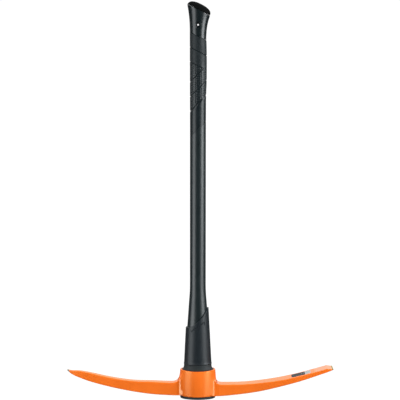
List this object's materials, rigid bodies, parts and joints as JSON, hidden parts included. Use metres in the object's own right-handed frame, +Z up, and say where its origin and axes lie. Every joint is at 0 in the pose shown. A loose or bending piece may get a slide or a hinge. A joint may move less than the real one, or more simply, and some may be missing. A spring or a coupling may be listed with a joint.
{
  "type": "pickaxe",
  "caption": "Pickaxe with a forged point-and-chisel head on a flanged, plastic-jacketed fibreglass handle with a rubber guard boot, rubber grip and hang hole.",
  "frame": {"origin": "middle of the foot's flat underside, on the handle's axis", "axes": "+Z up the handle from the foot to the grip, +X towards the chisel arm, +Y towards the back"},
  "size_m": [0.6115, 0.0668, 0.907],
  "materials": {
    "fibreglass": "cut end of a pultruded glass and resin rod",
    "jacket_plastic": "moulded black plastic, satin",
    "boot_rubber": "soft black rubber, satin",
    "grip_rubber": "soft black rubber with slanted grooves and dimples",
    "butt_plastic": "moulded black plastic, glossy",
    "pad_rubber": "matt black rubber",
    "head_paint": "orange paint over forged steel, bare at the point and the chisel edge",
    "label_film": "satin film, dark with a pale end"
  },
  "bodies": {
    "handle": {"fibreglass_core": "fibreglass", "handle_jacket": "jacket_plastic", "guard_boot": "boot_rubber", "grip_sleeve": "grip_rubber", "butt_cap": "butt_plastic", "butt_pad": "pad_rubber"},
    "head": {"pick_head": "head_paint", "arm_label": "label_film"}
  },
  "joints": [
    {"name": "head_lift", "type": "slide", "parent": "handle", "child": "head", "axis": [0, 0, 1], "range_m": [0, 0.93]}
  ]
}
